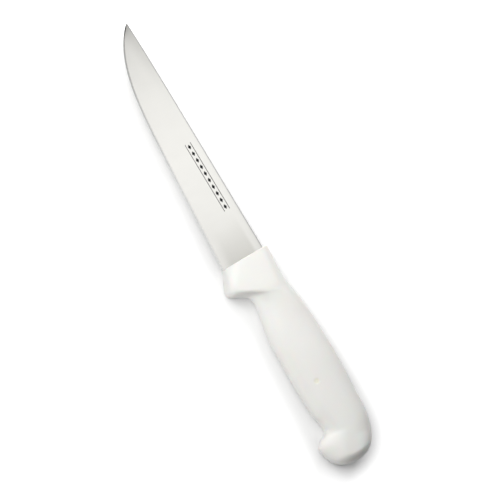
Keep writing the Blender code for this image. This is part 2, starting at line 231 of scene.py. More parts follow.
def arcPoints(centre, radius, start, end, count=12):
    # Points on a circle from one angle to another, in degrees.
    angles = np.radians(np.linspace(start, end, count))
    return np.column_stack([centre[0] + radius * np.cos(angles),
                            centre[1] + radius * np.sin(angles)])


# Shapes of the steel

def sweepShare(x):
    # 0 up to the start of the edge's sweep, 1 at the tip
    start = blade["length"] - blade["sweepLength"]
    return np.clip((x - start) / blade["sweepLength"], 0.0, 1.0)


def spineLine(x):
    # The spine's fall grows as a power of the way through the sweep.
    return blade["spineFall"] * sweepShare(x) ** blade["sweepPower"]


def edgeLine(x):
    # A straight climb from the heel times a rounded fall to nothing at the tip.
    straightLength = blade["length"] - blade["sweepLength"]
    straight = blade["heelHeight"] - blade["edgeRise"] * x / straightLength
    sweep = 1 - sweepShare(x) ** blade["sweepPower"]
    return straight * sweep ** blade["sweepFullness"]


def bladeRings():
    # Half a section goes down the spine's flat, round its corner, down the unground
    # strip, down the ground face in even steps and down the edge bevel. The other half
    # is its mirror image. Each station along the blade scales that to its own height.
    start = blade["length"] - blade["sweepLength"]
    straight = np.linspace(-blade["rootDepth"], start, blade["straightSteps"],
                           endpoint=False)
    turn = np.linspace(0, math.pi / 2, blade["sweepSteps"], endpoint=False)
    x = np.concatenate([straight, start + blade["sweepLength"] * np.sin(turn)])
    top, edge = spineLine(x), edgeLine(x)
    height = edge - top
    share = np.clip(x / blade["length"], 0, 1)
    thinning = blade["spineThickness"] - blade["tipThickness"]
    thickness = blade["spineThickness"] - share * thinning
    # Near the tip, where the blade gets low, each measure is held to a share of it.
    half = np.minimum(thickness, height) / 2
    corner = np.minimum(blade["spineRound"], half / 2)
    bevel = np.minimum(blade["bevelHeight"], height / 3)
    shoulder = np.minimum(blade["shoulderThickness"] / 2, half / 2)
    run = np.clip(1 - x / blade["stripLength"], 0, 1) ** blade["stripFade"]
    strip = np.minimum(blade["stripHeight"] * run, height / 4)
    columns = [(top, half * 0), (top, (half - corner) / 2)]
    for angle in np.radians(np.linspace(0, 90, blade["cornerSteps"])):
        columns.append((top + corner * (1 - math.cos(angle)),
                        half - corner + corner * math.sin(angle)))
    stripEnd = top + corner + strip
    columns += [(top + corner + strip / 2, half), (stripEnd, half)]
    faceEnd = edge - bevel
    for s in np.linspace(0, 1, blade["faceSteps"] + 1)[1:]:
        columns.append((stripEnd + (faceEnd - stripEnd) * s, half + (shoulder - half) * s))
    for s in blade["bevelSteps"]:
        columns.append((faceEnd + bevel * s, shoulder * (1 - s)))
    columns.append((edge, half * 0))
    y = np.stack([c[0] for c in columns], 1)
    z = np.stack([c[1] for c in columns], 1)
    yRing = np.hstack([y, y[:, -2:0:-1]])
    zRing = np.hstack([z, -z[:, -2:0:-1]])
    xRing = np.repeat(x[:, None], yRing.shape[1], 1)
    return np.stack([xRing, yRing, zRing], -1)


def tangOutline(allowance):
    # Tapering strip with rounded rear corners, grown by the allowance all round.
    front = tang["lap"] - blade["rootDepth"] + allowance
    rear = tang["corner"] - tang["length"]
    frontHalf = tang["frontHeight"] / 2 + allowance
    cornerHalf = tang["endHeight"] / 2 - tang["corner"]
    radius = tang["corner"] + allowance
    centre = tang["centre"]
    return np.vstack([[(front, centre - frontHalf), (front, centre + frontHalf)],
                      arcPoints((rear, centre + cornerHalf), radius, 90, 180),
                      arcPoints((rear, centre - cornerHalf), radius, 180, 270)])


def tangSlab(allowance):
    half = tang["thickness"] / 2 + allowance
    return slabSurface("tangSlab", tangOutline(allowance), -half, half)


def lockRod(distance, allowance):
    # Rod across one lock hole of the tang.
    radius = tang["holeDiameter"] / 2 - allowance
    middle = (-distance, tang["centre"])
    outline = arcPoints(middle, radius, 0, 360, tang["holeSteps"] + 1)[:-1]
    reach = tang["thickness"] / 2 + tang["plugReach"]
    return slabSurface("lockRod", outline, -reach, reach)


def makeBlade():
    # The rings make the blade and its root. The step under the root is cut off, the tang
    # is added and its lock holes are cut through it.
    piece = ringSurface("groundBlade", bladeRings())
    outwardNormals(piece)
    past, down, aside = blade["stepBlock"]
    front, back = handle["steelGap"], -blade["rootDepth"] - past
    top = blade["heelHeight"] - blade["heelStep"]
    stepOutline = np.array([(back, top), (front, top), (front, top + down),
                            (back, top + down)])
    carve(piece, slabSurface("heelStep", stepOutline, -aside, aside), "DIFFERENCE")
    carve(piece, tangSlab(0.0), "UNION")
    for distance in tang["holes"]:
        carve(piece, lockRod(distance, 0.0), "DIFFERENCE")
    return piece


# Shape of the plastic

def quarterRound(share, power):
    # Height of a rounded corner's outline at a share of its run, from 1 down to 0.
    return (1 - np.clip(share, 0, 1) ** power) ** (1 / power)


def pommelTop(x):
    # Spine side of the pommel: level at first, then round to the middle of the butt.
    share = (handle["pommelLength"] - handle["length"] - x) / handle["pommelLength"]
    rise = handle["buttCentre"] + handle["pommelRise"]
    return handle["buttCentre"] - rise * quarterRound(share, handle["pommelFullness"])


def pommelBottom(x):
    # Belly side of the beak, from its point round to the middle of the butt.
    tip = (handle["gripHeight"] - handle["gripArch"] - handle["throatRise"]
           + handle["beakDrop"])
    share = (handle["beakLength"] - handle["length"] - x) / handle["beakLength"]
    drop = tip - handle["buttCentre"]
    return handle["buttCentre"] + drop * quarterRound(share, handle["pommelFullness"])


def handleRows():
    # One row for each section across the handle: x and y of its spine side, x and y of
    # its belly side, its thickness, the power of its rounding on the belly side and on the
    # spine side (2 is an ellipse), the share of its thickness that is gone at the belly
    # side, and what its spine half is thicker by. The flare is the difference in thickness
    # between the cheeks and the grip.
    h = handle
    crown = h["cheekWidth"] + h["cheekCrown"]
    flare = h["cheekWidth"] - h["gripThickness"]
    thin = h["guardThinning"]
    face = -h["frontRound"]
    heel = blade["heelHeight"]
    guardTip = heel + h["guardDrop"]
    waist = h["waistHeight"] - h["waistArch"] * h["gripArch"]
    rows = [
        (face, -h["collarRise"], face, heel - h["heelOverhang"], crown, 4.0, 3.4,
         h["frontThinning"] * thin, 0.0),
        (-h["collarTop"], -h["collarRearRise"] * h["collarRise"], -h["collarBottom"],
         guardTip, crown, 6.0, 3.0, thin, 0.0),
    ]
    # Step down from the collar to the waist. Shares of the step's length, the arch, the
    # hollow's length, the guard's drop, the step's height and the thinning; the powers.
    for back, arch, hollow, drop, swell, thinning, bellyPower, spinePower in (
            (0.15, 0.37, 0.06, 0.09, 1.04, 1.0, 4.8, 2.95),
            (0.38, 0.44, 0.24, 0.47, 0.90, 0.6, 3.2, 2.85),
            (0.66, 0.54, 0.48, 0.90, 0.70, 0.0, 2.6, 2.70),
            (1.05, 0.70, 0.84, 1.05, 0.50, 0.0, 2.4, 2.55),
            (1.60, 0.82, 1.42, 1.00, 0.26, 0.0, 2.4, 2.50)):
        rows.append((-h["collarTop"] - back * h["waistStep"], -arch * h["gripArch"],
                     -h["collarBottom"] - hollow * h["guardHollow"],
                     guardTip - drop * (guardTip - waist),
                     h["gripThickness"] + swell * flare, bellyPower, spinePower,
                     thinning * thin, 0.0))
    # Palm swell. Shares of its length, the arch, the grip's height and the flare; the
    # belly side's power; the spine half's own share of the flare.
    run = h["length"] - h["throatLength"] - h["collarTop"]
    full = h["gripFullness"]
    for share, arch, height, widening, bellyPower, extra in (
            (0.24, 0.89, 0.952, 0.04, full, 0.0),
            (0.48, 1.00, 0.990, 0.06, full, 0.0),
            (0.72, 0.95, 1.006, 0.20, full, 0.0),
            (0.89, h["pommelRise"] / h["gripArch"], 0.985, 0.40, 2.7, 0.04)):
        x = -h["collarTop"] - share * run
        rows.append((x, -arch * h["gripArch"], x, height * h["gripHeight"] - h["gripArch"],
                     h["gripThickness"] + widening * flare, bellyPower, full, 0.0,
                     extra * flare))
    # Throat and beak. Shares of the beak's reach on both sides, its drop, the flare and
    # the thinning; the belly side's power; the spine half's own share of the flare.
    throat = h["throatLength"] - h["length"]
    throatBottom = h["gripHeight"] - h["gripArch"] - h["throatRise"]
    reach = h["throatLength"] - h["beakLength"]
    for back, lead, drop, widening, thinning, bellyPower, extra in (
            (0.50, 0.12, 0.00, 0.52, 0.00, 2.9, 0.170),
            (0.85, -0.28, 0.02, 0.58, 0.15, 2.9, 0.180),
            (1.13, -0.50, 0.26, 0.64, 0.60, 2.7, 0.185),
            (1.40, -0.70, 0.70, 0.72, 1.00, 2.6, 0.170)):
        x = throat - back * reach
        rows.append((x, pommelTop(x), throat + lead * reach,
                     throatBottom + drop * h["beakDrop"],
                     h["gripThickness"] + widening * flare, bellyPower, full,
                     thinning * h["beakThinning"], extra * flare))
    # Sections that fan round the butt and close it: shares of the turn, of what the flare
    # still lacks and of the thinning; the belly side's power.
    for share, lack, thinning, bellyPower in (
            (0.00, 0.24, 1.1, 2.6),
            (0.22, 0.00, 0.8, 2.9),
            (0.44, 0.00, 0.3, 3.2),
            (0.64, 0.00, 0.0, 2.8),
            (0.80, 0.00, 0.0, 2.5),
            (0.91, 0.00, 0.0, 2.3),
            (0.97, 0.00, 0.0, 2.2)):
        left = 1 - math.sin(math.pi / 2 * share)
        x = h["beakLength"] * left - h["length"]
        spineX = x - h["buttFan"] * h["beakLength"] * left
        edgeShare = 1 - (h["length"] + x) / h["buttEdge"]
        rows.append((spineX, pommelTop(spineX), x, pommelBottom(x),
                     (crown - lack * flare) * quarterRound(edgeShare, h["buttFullness"]),
                     bellyPower, full - h["buttSoftness"] * share,
                     thinning * h["beakThinning"], 0.0))
    return np.array(rows)


def blendRows(rows, count):
    # Cubic through all the rows. The slope at a row is that of its two neighbours'
    # chords, each weighted by the length of the other.
    spine = np.linalg.norm(np.diff(rows[:, 0:2], axis=0), axis=1)
    belly = np.linalg.norm(np.diff(rows[:, 2:4], axis=0), axis=1)
    gaps = (spine + belly) / 2
    chords = np.diff(rows, axis=0) / gaps[:, None]
    inner = ((chords[:-1] * gaps[1:, None] + chords[1:] * gaps[:-1, None])
             / (gaps[:-1] + gaps[1:])[:, None])
    slopes = np.vstack([chords[:1], inner, chords[-1:]])
    where = np.concatenate([[0], np.cumsum(gaps)])
    t = np.linspace(0, where[-1], count)
    i = np.clip(np.searchsorted(where, t, side="right") - 1, 0, len(gaps) - 1)
    gap = gaps[i][:, None]
    s = (t - where[i])[:, None] / gap
    return (rows[i] * (2 * s ** 3 - 3 * s ** 2 + 1)
            + slopes[i] * gap * (s ** 3 - 2 * s ** 2 + s)
            + rows[i + 1] * (3 * s ** 2 - 2 * s ** 3)
            + slopes[i + 1] * gap * (s ** 3 - s ** 2))


def evenAngles():
    # Angles that space the points of a middling section evenly round it, with a few
    # more beside the parting line so that its ridge has points to stand on.
    power = 2 / handle["gripFullness"]
    dense = np.linspace(0, math.pi / 2, 4001)   # close enough to measure along
    across = handle["gripHeight"] / 2 * np.cos(dense) ** power
    out = handle["gripThickness"] / 2 * np.sin(dense) ** power
    length = np.concatenate([[0], np.cumsum(np.hypot(np.diff(across), np.diff(out)))])
    even = np.linspace(0, length[-1], handle["roundSteps"] // 4 + 1)
    quarter = np.interp(even, length, dense)
    nearLine = np.array(handle["partingSteps"]) * handle["partingWidth"]
    beside = np.interp(nearLine, out, dense)
    quarter = np.sort(np.concatenate([quarter[quarter != 0], beside]))
    half = np.concatenate([quarter, (math.pi - quarter[:-1])[::-1]])
    return np.concatenate([[0], half, [math.pi], -half[::-1]])


def handleSurface(rows, angles, inset, forward):
    # Superellipse between the two side points of each row, thinned with the square of the
    # way to the belly side, thickened by a smooth step towards the spine side, and with
    # its cheeks flattened by a soft minimum. The ridge of the parting line stands on it as
    # a narrow bell curve over z.
    spine, belly = rows[:, 0:2], rows[:, 2:4]
    reach = np.linalg.norm(belly - spine, axis=1)[:, None]
    across = (belly - spine) / reach
    centre = (spine + belly) / 2 + np.column_stack([forward, forward * 0])
    cosine, sine = np.cos(angles)[None, :], np.sin(angles)[None, :]
    power = 2 / np.where(cosine > 0, rows[:, 5:6], rows[:, 6:7])
    along = np.sign(cosine) * np.abs(cosine) ** power
    out = np.sign(sine) * np.abs(sine) ** power
    thinned = 1 - rows[:, 7:8] * np.maximum(0, along) ** 2
    start, end = handle["extraSpan"]
    share = np.clip((start - along) / (start - end), 0, 1)
    thickness = rows[:, 4:5] + rows[:, 8:9] * share * share * (3 - 2 * share)
    size = np.abs(out) * (thickness / 2 - inset[:, None]) * thinned
    soft = handle["cheekSoftness"]
    limit = handle["cheekWidth"] / 2
    z = -soft * np.logaddexp(-size / soft, -limit / soft) * np.sign(out)
    z = np.where(size < handle["cheekStart"] * limit, size * np.sign(out), z)
    ridge = handle["partingRidge"] * np.exp(-(z / handle["partingWidth"]) ** 2)
    half = reach / 2 - inset[:, None] - handle["partingRidge"]
    side = along * half + np.sign(along) * ridge
    xy = centre[:, None, :] + across[:, None, :] * side[:, :, None]
    return np.concatenate([xy, z[:, :, None]], -1)


def sinkGate(points):
    # A round dimple with a soft rim in the upper cheek, and a torn nub in its middle.
    gate = np.hypot(points[..., 0] - handle["gate"][0], points[..., 1] - handle["gate"][1])
    share = np.clip(handle["gateRim"] - gate / handle["gateRadius"], 0, 1)
    dimple = handle["gateDepth"] * share * share * (3 - 2 * share)
    nub = handle["gateNub"] * np.exp(-(gate / handle["gateNubRadius"]) ** 4)
    points[..., 2] -= np.where(points[..., 2] > 0, dimple - nub, 0)


def makeHandle():
    # The first rings are the front section again, drawn in along a quarter circle for the
    # collar's rounded front edge. Then the room for the steel is cut out of the skin and
    # the plugs in the tang's lock holes are put back.
    rows = blendRows(handleRows(), handle["lengthSteps"])
    turn = np.linspace(math.pi / 2, 0, handle["frontSteps"] + 1)[:-1]
    rows = np.vstack([np.repeat(rows[:1], len(turn), 0), rows])
    inset = np.zeros(len(rows))
    forward = np.zeros(len(rows))
    inset[:len(turn)] = handle["frontRound"] * (1 - np.cos(turn))
    forward[:len(turn)] = handle["frontRound"] * np.sin(turn)
    points = handleSurface(rows, evenAngles(), inset, forward)
    sinkGate(points)
    piece = ringSurface("mouldedHandle", points)
    outwardNormals(piece)
    gap = handle["steelGap"]
    rootHeight = blade["heelHeight"] - blade["heelStep"]
    taper = ((blade["spineThickness"] - blade["shoulderThickness"])
             / (blade["heelHeight"] - blade["bevelHeight"]))
    bottom = blade["spineThickness"] - taper * (rootHeight - blade["stripHeight"])
    topHalf = blade["spineThickness"] / 2 + gap
    bottomHalf = bottom / 2 + gap
    ring = np.array([(-gap, -topHalf), (-gap, topHalf), (blade["stripHeight"], topHalf),
                     (rootHeight + gap, bottomHalf), (rootHeight + gap, -bottomHalf),
                     (blade["stripHeight"], -topHalf)])
    slot = np.array([[(x, y, z) for y, z in ring]
                     for x in (-blade["rootDepth"] - gap, handle["slotStart"])])
    carve(piece, ringSurface("rootSlot", slot), "DIFFERENCE")
    carve(piece, tangSlab(gap), "DIFFERENCE")
    for distance in tang["holes"]:
        carve(piece, lockRod(distance, gap), "UNION")
    return piece


# Materials

def hexColour(text):
    # sRGB hex to the linear colour that the shader works in
    values = [int(text[i:i + 2], 16) / 255 for i in (1, 3, 5)]
    linear = [v / 12.92 if v <= 0.04045 else ((v + 0.055) / 1.055) ** 2.4 for v in values]
    return (*linear, 1.0)


def newMaterial(name):
    # A material with an empty node tree, and that tree.
    material = bpy.data.materials.new(name)
    material.use_nodes = True
    tree = material.node_tree
    tree.nodes.clear()
    return material, tree


def addNode(tree, kind, settings, inputs):
    # Adds one node; an input is a value, or another node's output socket to link.
    node = tree.nodes.new(kind)
    for name, value in settings.items():
        setattr(node, name, value)
    for key, value in inputs.items():
        if isinstance(value, bpy.types.NodeSocket):
            tree.links.new(value, node.inputs[key])
        else:
            node.inputs[key].default_value = value
    return node


steelLook = {
    "ground": "#d5d4d0",
    "groundDark": "#cbcac6",
    "heelPaintedShade": "#bdbcb7",    # painted shade in the middle of the face at the heel, between brighter strips
    "tipPaintedShade": "#bfbeba",     # painted shade on the spine side of the face at the tip
    "spineCornerPaintedShade": "#b4b4b1",  # painted shade along the spine's corner, for the dark it reflects
    # Painted light on the edge bevel: a highlight at the heel and shade towards the tip.
    "bevelPaintedLightAtHeel": "#efefed",
    "bevelPaintedShadeAtTip": "#bdbdbb",
    "bevelEndPaintedShade": "#343434",    # painted shade: the last few millimetres face away from the light
    # painted shade: dark grey for the dark that the spine reflects
    "spine": "#787878",
    "etch": "#2c2c2e",
    # Where those tones start and are full, in mm: from the collar, below the spine and
    # above the edge.
    "heelAlong": (30.0, -7.0),
    "heelBelow": (3.6, 6.2),
    "heelAbove": (1.5, 8.0),
    "tipAlong": (95.0, 150.0),
    "tipBelow": (8.0, 0.0),
    "cornerBelow": (0.9, 0.45),
    "bevelAlong": (60.0, 137.0),
    "bevelEndAlong": (144.0, 150.0),
    "cloudScale": 0.05,       # per mm; slow changes of tone over the face
    "cloudShare": 0.5,
    "lineShare": 0.5,         # and quick ones along the grit lines
    "roughness": 0.3,
    "roughnessSpread": 0.1,
    "lineSpacing": 0.5,       # mm; the real grit lines are finer than the picture shows
    "lineLength": 9.0,        # mm
    "lineDepth": 0.0016,      # mm
    "bevelRoughness": 0.2,
    "bevelSpread": 0.14,
    "bevelSpacing": 0.25,     # mm
    "bevelLength": 3.0,       # mm
    "bevelDepth": 0.0015,     # mm
    "spineRoughness": 0.38,
    "spineSpread": 0.2,
    "spineGrain": 1.2,        # mm
    "spineDepth": 0.006,      # mm
    "markStart": 29.0,        # mm from the collar; plain etched border near the spine
    "markEnd": 73.5,
    "markCentre": 6.7,        # mm below the spine
    "markHalfHeight": 1.75,
    "markLine": 0.34,
    "markPitch": 4.45,
    "lozengeSlope": 1.7,      # a lozenge's length over its height
    "lozengeHalf": 1.6,       # half its length
    "etchRoughness": 0.3,     # added where the steel is etched
    "bevelMargin": 0.999,     # takes the bevel's own faces and not the next ones
    "spineFacing": -0.3,      # a face of the spine has a normal with y below this
    "sharpAngle": 9,          # degrees
}


def steelLines(tree, spacing, length):
    # Grit lines that run across the blade, from its spine to its edge.
    place = addNode(tree, "ShaderNodeTexCoord", {}, {})
    stretch = addNode(tree, "ShaderNodeMapping", {}, {
        "Vector": place.outputs["Object"],
        "Scale": (1 / (spacing * millimetre), 1 / (length * millimetre), 1 / millimetre)})
    return addNode(tree, "ShaderNodeTexNoise", {}, {
        "Vector": stretch.outputs["Vector"], "Scale": 1.0, "Detail": 3.0, "Roughness": 0.6})


def steelShader(tree, colour, roughness, height, depth):
    bump = addNode(tree, "ShaderNodeBump", {}, {
        "Strength": 1.0, "Distance": depth * millimetre, "Height": height})
    shader = addNode(tree, "ShaderNodeBsdfPrincipled", {}, {
        "Base Color": colour, "Metallic": 1.0, "Roughness": roughness,
        "Normal": bump.outputs["Normal"]})
    addNode(tree, "ShaderNodeOutputMaterial", {}, {"Surface": shader.outputs["BSDF"]})
    return shader


def groundStainlessSteel():
    # Martensitic stainless, taper ground across its width and brushed to a fine satin:
    # a bright, slightly streaky mirror, with a matt dark grey border etched into it.
    material, tree = newMaterial("groundStainlessSteel")
    look = steelLook
    lines = steelLines(tree, look["lineSpacing"], look["lineLength"])
    place = addNode(tree, "ShaderNodeTexCoord", {}, {})
    inKnife = addNode(tree, "ShaderNodeMapping", {}, {
        "Vector": place.outputs["Object"], "Scale": (1 / millimetre,) * 3,
        "Location": tuple(-knifeOrigin / millimetre)})
    clouds = addNode(tree, "ShaderNodeTexNoise", {}, {
        "Vector": inKnife.outputs["Vector"], "Scale": look["cloudScale"], "Detail": 2.0})
    cloudy = addNode(tree, "ShaderNodeMath", {"operation": "MULTIPLY"}, {
        0: clouds.outputs["Fac"], 1: look["cloudShare"]})
    streaks = addNode(tree, "ShaderNodeMath", {"operation": "MULTIPLY_ADD"}, {
        0: lines.outputs["Fac"], 1: look["lineShare"], 2: cloudy.outputs[0]})
    ground = addNode(tree, "ShaderNodeMix", {"data_type": "RGBA"}, {
        0: streaks.outputs[0], 6: hexColour(look["groundDark"]),
        7: hexColour(look["ground"])})
    axes = addNode(tree, "ShaderNodeSeparateXYZ", {}, {"Vector": inKnife.outputs["Vector"]})
    # Painted shade: the face is darker at the heel, where the sheen's highlight falls off
    # towards the collar, apart from a strip along each side of it, and darker towards the
    # spine at the tip, where that highlight falls off too. A dark line is painted along the
    # spine's corner for the dark that the corner reflects. Each tone's share is the product
    # of its smooth steps.
    along = axes.outputs["X"]
    below = addNode(tree, "ShaderNodeAttribute", {"attribute_name": "belowSpine"}, {})
    above = addNode(tree, "ShaderNodeAttribute", {"attribute_name": "aboveEdge"}, {})
    below, above = below.outputs["Fac"], above.outputs["Fac"]
    toned = ground.outputs[2]
    for tone, steps in (
            ("heelPaintedShade", ((along, "heelAlong"), (below, "heelBelow"),
                          (above, "heelAbove"))),
            ("tipPaintedShade", ((along, "tipAlong"), (below, "tipBelow"))),
            ("spineCornerPaintedShade", ((below, "cornerBelow"),))):
        share = 1.0
        for value, span in steps:
            part = addNode(tree, "ShaderNodeMapRange", {
                "interpolation_type": "SMOOTHSTEP"}, {
                "Value": value, "From Min": look[span][0], "From Max": look[span][1]})
            share = addNode(tree, "ShaderNodeMath", {"operation": "MULTIPLY"}, {
                0: share, 1: part.outputs["Result"]}).outputs[0]
        toned = addNode(tree, "ShaderNodeMix", {"data_type": "RGBA"}, {
            0: share, 6: toned, 7: hexColour(look[tone])}).outputs[2]
    # Border of two lines with a row of lozenges between them, on the upper side only. A
    # point is in a lozenge if its height times the slope and its distance along from the
    # lozenge's middle add up to less than half a lozenge.
    fromMiddle = addNode(tree, "ShaderNodeMath", {"operation": "SUBTRACT"}, {
        0: axes.outputs["Y"], 1: look["markCentre"]})
    height = addNode(tree, "ShaderNodeMath", {"operation": "ABSOLUTE"}, {
        0: fromMiddle.outputs[0]})
    line = addNode(tree, "ShaderNodeMath", {"operation": "COMPARE"}, {
        0: height.outputs[0], 1: look["markHalfHeight"], 2: look["markLine"] / 2})
    fromStart = addNode(tree, "ShaderNodeMath", {"operation": "SUBTRACT"}, {
        0: along, 1: look["markStart"]})
    repeat = addNode(tree, "ShaderNodeMath", {"operation": "MODULO"}, {
        0: fromStart.outputs[0], 1: look["markPitch"]})
    offset = addNode(tree, "ShaderNodeMath", {"operation": "SUBTRACT"}, {
        0: repeat.outputs[0], 1: look["markPitch"] / 2})
    sideways = addNode(tree, "ShaderNodeMath", {"operation": "ABSOLUTE"}, {
        0: offset.outputs[0]})
    slope = addNode(tree, "ShaderNodeMath", {"operation": "MULTIPLY_ADD"}, {
        0: height.outputs[0], 1: look["lozengeSlope"], 2: sideways.outputs[0]})
    lozenge = addNode(tree, "ShaderNodeMath", {"operation": "LESS_THAN"}, {
        0: slope.outputs[0], 1: look["lozengeHalf"]})
    drawn = addNode(tree, "ShaderNodeMath", {"operation": "MAXIMUM"}, {
        0: line.outputs[0], 1: lozenge.outputs[0]})
    middle = (look["markStart"] + look["markEnd"]) / 2
    within = addNode(tree, "ShaderNodeMath", {"operation": "COMPARE"}, {
        0: along, 1: middle, 2: look["markEnd"] - middle})
    upper = addNode(tree, "ShaderNodeMath", {"operation": "GREATER_THAN"}, {
        0: axes.outputs["Z"], 1: 0.0})
    bounded = addNode(tree, "ShaderNodeMath", {"operation": "MULTIPLY"}, {
        0: drawn.outputs[0], 1: within.outputs[0]})
    etched = addNode(tree, "ShaderNodeMath", {"operation": "MULTIPLY"}, {
        0: bounded.outputs[0], 1: upper.outputs[0]})
    colour = addNode(tree, "ShaderNodeMix", {"data_type": "RGBA"}, {
        0: etched.outputs[0], 6: toned, 7: hexColour(look["etch"])})
    streaky = addNode(tree, "ShaderNodeMath", {"operation": "MULTIPLY_ADD"}, {
        0: lines.outputs["Fac"], 1: look["roughnessSpread"],
        2: look["roughness"] - look["roughnessSpread"] / 2})
    roughness = addNode(tree, "ShaderNodeMath", {"operation": "MULTIPLY_ADD"}, {
        0: etched.outputs[0], 1: look["etchRoughness"], 2: streaky.outputs[0]})
    steelShader(tree, colour.outputs[2], roughness.outputs[0], lines.outputs["Fac"],
                look["lineDepth"])
    return material


def honedEdge():
    # The same steel, honed on a finer wheel at a steeper angle: a narrow line along the
    # face, painted lighter towards the heel as a highlight and darker towards the tip as
    # shade.
    material, tree = newMaterial("honedEdge")
    look = steelLook
    lines = steelLines(tree, look["bevelSpacing"], look["bevelLength"])
    place = addNode(tree, "ShaderNodeTexCoord", {}, {})
    axes = addNode(tree, "ShaderNodeSeparateXYZ", {}, {"Vector": place.outputs["Object"]})
    inKnife = addNode(tree, "ShaderNodeMath", {"operation": "MULTIPLY_ADD"}, {
        0: axes.outputs["X"], 1: 1 / millimetre, 2: float(-knifeOrigin[0] / millimetre)})
    colour = hexColour(look["bevelPaintedLightAtHeel"])
    for tone, span in (("bevelPaintedShadeAtTip", "bevelAlong"), ("bevelEndPaintedShade", "bevelEndAlong")):
        share = addNode(tree, "ShaderNodeMapRange", {}, {
            "Value": inKnife.outputs[0], "From Min": look[span][0],
            "From Max": look[span][1]})
        colour = addNode(tree, "ShaderNodeMix", {"data_type": "RGBA"}, {
            0: share.outputs["Result"], 6: colour, 7: hexColour(look[tone])}).outputs[2]
    streaky = addNode(tree, "ShaderNodeMath", {"operation": "MULTIPLY_ADD"}, {
        0: lines.outputs["Fac"], 1: look["bevelSpread"], 2: look["bevelRoughness"]})
    steelShader(tree, colour, streaky.outputs[0], lines.outputs["Fac"], look["bevelDepth"])
    return material


def spineWithPaintedShade():
    # The stamped back of the sheet: never ground, rougher than the sides, and painted a
    # darker grey as shade for the dark that it reflects.
    material, tree = newMaterial("spineWithPaintedShade")
    look = steelLook
    grain = steelLines(tree, look["spineGrain"], look["spineGrain"])
    mottled = addNode(tree, "ShaderNodeMath", {"operation": "MULTIPLY_ADD"}, {
        0: grain.outputs["Fac"], 1: look["spineSpread"], 2: look["spineRoughness"]})
    steelShader(tree, hexColour(look["spine"]), mottled.outputs[0], grain.outputs["Fac"],
                look["spineDepth"])
    return material


plasticLook = {
    "body": "#ededea",
    "shade": "#e8e7e2",
    "gate": "#e9e9d6",
    "gateShare": 0.75,        # how much of that colour its middle takes
    "gateSpan": (0.8, 2.4),   # mm from its middle, where it starts to fade and has gone
    "cloudScale": 0.04,       # per mm; slow changes between body and shade
    "roughness": 0.4,
    "roughnessSpread": 0.1,
    "grain": 0.45,            # mm; spark eroded mould texture
    "grainDepth": 0.004,      # mm
    "ior": 1.49,
    "scatter": 0.15,          # share of the light that goes into the plastic
    "scatterDepth": 0.002,    # m
    "sharpAngle": 40,         # degrees
}


def mouldedPolypropylene():
    # White polypropylene from a fine spark eroded mould: a soft satin sheen, a little
    # light going into the plastic, and a waxy yellow spot where the gate was torn off.
    material, tree = newMaterial("mouldedPolypropylene")
    look = plasticLook
    place = addNode(tree, "ShaderNodeTexCoord", {}, {})
    inKnife = addNode(tree, "ShaderNodeMapping", {}, {
        "Vector": place.outputs["Object"], "Scale": (1 / millimetre,) * 3,
        "Location": tuple(-knifeOrigin / millimetre)})
    clouds = addNode(tree, "ShaderNodeTexNoise", {}, {
        "Vector": inKnife.outputs["Vector"], "Scale": look["cloudScale"], "Detail": 3.0})
    body = addNode(tree, "ShaderNodeMix", {"data_type": "RGBA"}, {
        0: clouds.outputs["Fac"], 6: hexColour(look["shade"]), 7: hexColour(look["body"])})
    gatePoint = (*handle["gate"], handle["gripThickness"] / 2)
    fromGate = addNode(tree, "ShaderNodeVectorMath", {"operation": "DISTANCE"}, {
        0: inKnife.outputs["Vector"], 1: gatePoint})
    spot = addNode(tree, "ShaderNodeMapRange", {"interpolation_type": "SMOOTHSTEP"}, {
        "Value": fromGate.outputs["Value"], "From Min": look["gateSpan"][0],
        "From Max": look["gateSpan"][1], "To Min": look["gateShare"], "To Max": 0.0})
    colour = addNode(tree, "ShaderNodeMix", {"data_type": "RGBA"}, {
        0: spot.outputs["Result"], 6: body.outputs[2], 7: hexColour(look["gate"])})
    grain = addNode(tree, "ShaderNodeTexNoise", {}, {
        "Vector": inKnife.outputs["Vector"], "Scale": 1 / look["grain"], "Detail": 2.0})
    sheen = addNode(tree, "ShaderNodeMath", {"operation": "MULTIPLY_ADD"}, {
        0: clouds.outputs["Fac"], 1: look["roughnessSpread"],
        2: look["roughness"] - look["roughnessSpread"] / 2})
    bump = addNode(tree, "ShaderNodeBump", {}, {
        "Strength": 1.0, "Distance": look["grainDepth"] * millimetre,
        "Height": grain.outputs["Fac"]})
    shader = addNode(tree, "ShaderNodeBsdfPrincipled", {}, {
        "Base Color": colour.outputs[2], "Roughness": sheen.outputs[0],
        "IOR": look["ior"], "Subsurface Weight": look["scatter"],
        "Subsurface Scale": look["scatterDepth"],
        "Normal": bump.outputs["Normal"]})
    addNode(tree, "ShaderNodeOutputMaterial", {}, {"Surface": shader.outputs["BSDF"]})
    return material


def measureBlade(mesh):
    # Two values at each point for the finish: its depth below the spine and its height
    # above the cutting edge, both in millimetres.
    points = np.empty(len(mesh.vertices) * 3)
    mesh.vertices.foreach_get("co", points)
    points = (points.reshape(-1, 3) - knifeOrigin) / millimetre
    x, y = points[:, 0], points[:, 1]
    for name, values in (("belowSpine", y - spineLine(x)), ("aboveEdge", edgeLine(x) - y)):
        layer = mesh.attributes.new(name, "FLOAT", "POINT")
        layer.data.foreach_set("value", values.astype(np.float32))


